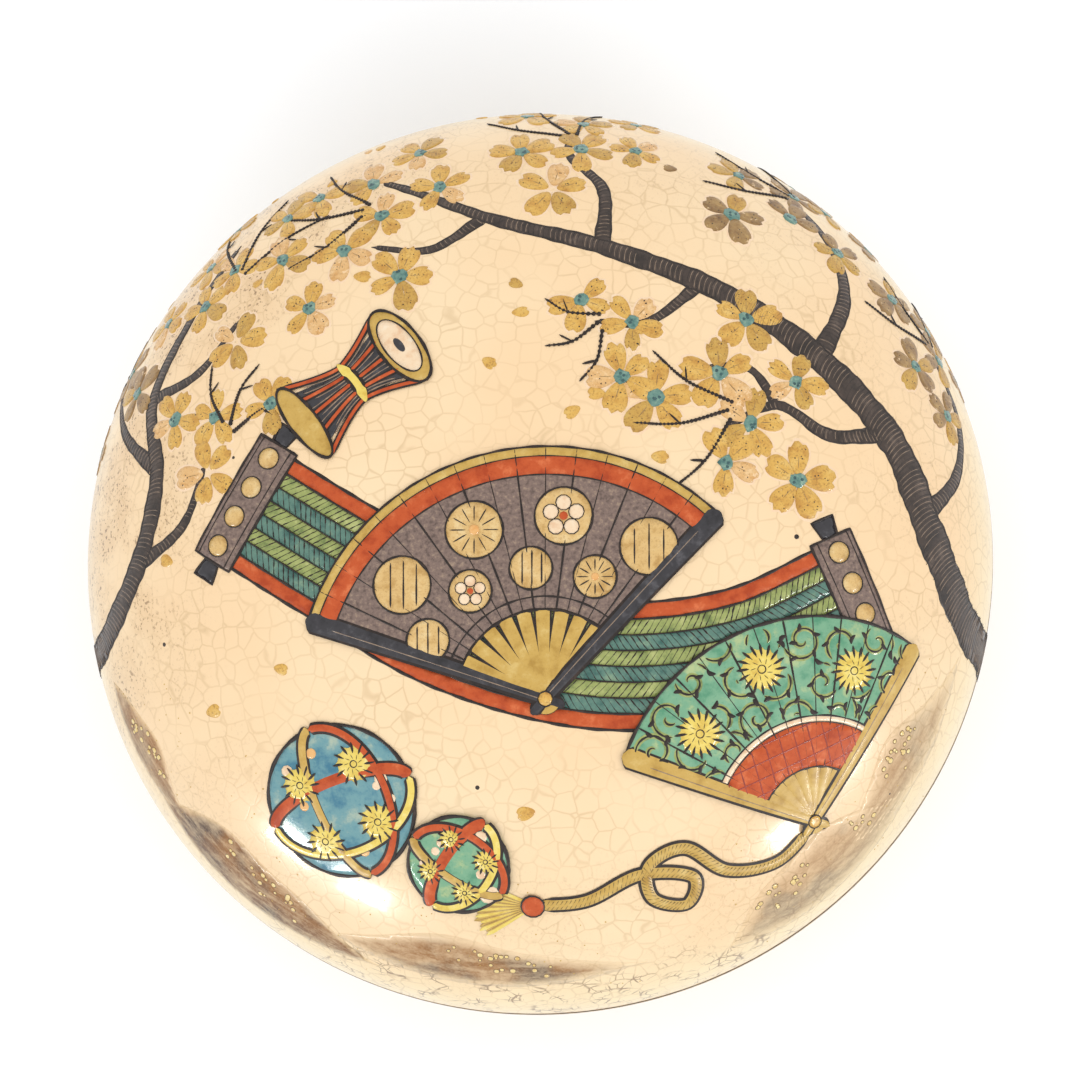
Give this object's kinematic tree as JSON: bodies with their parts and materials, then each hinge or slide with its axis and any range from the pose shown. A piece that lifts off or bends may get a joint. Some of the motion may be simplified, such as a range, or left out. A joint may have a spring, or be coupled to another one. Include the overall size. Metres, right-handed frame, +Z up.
{
  "type": "round lidded pottery box",
  "caption": "Round crackle-glazed pottery box: shallow bowl on a foot ring with an upright locating lip, and a domed lift-off lid painted in enamels and gold.",
  "frame": {"origin": "on the table, under the middle of the foot ring", "axes": "+Z up along the box's turning axis, towards the crown of the lid; -Y is the side that the lid's painting faces, its lower edge"},
  "size_m": [0.1, 0.1, 0.056],
  "materials": {
    "base_glaze": "gloss crackle glaze",
    "lid_glaze": "gloss crackle glaze"
  },
  "bodies": {
    "base": {"base": "base_glaze"},
    "lid": {"lid": "lid_glaze"}
  },
  "joints": [
    {"name": "lid_lift", "type": "slide", "parent": "base", "child": "lid", "axis": [0, 0, 1], "range_m": [0, 0.08]}
  ]
}
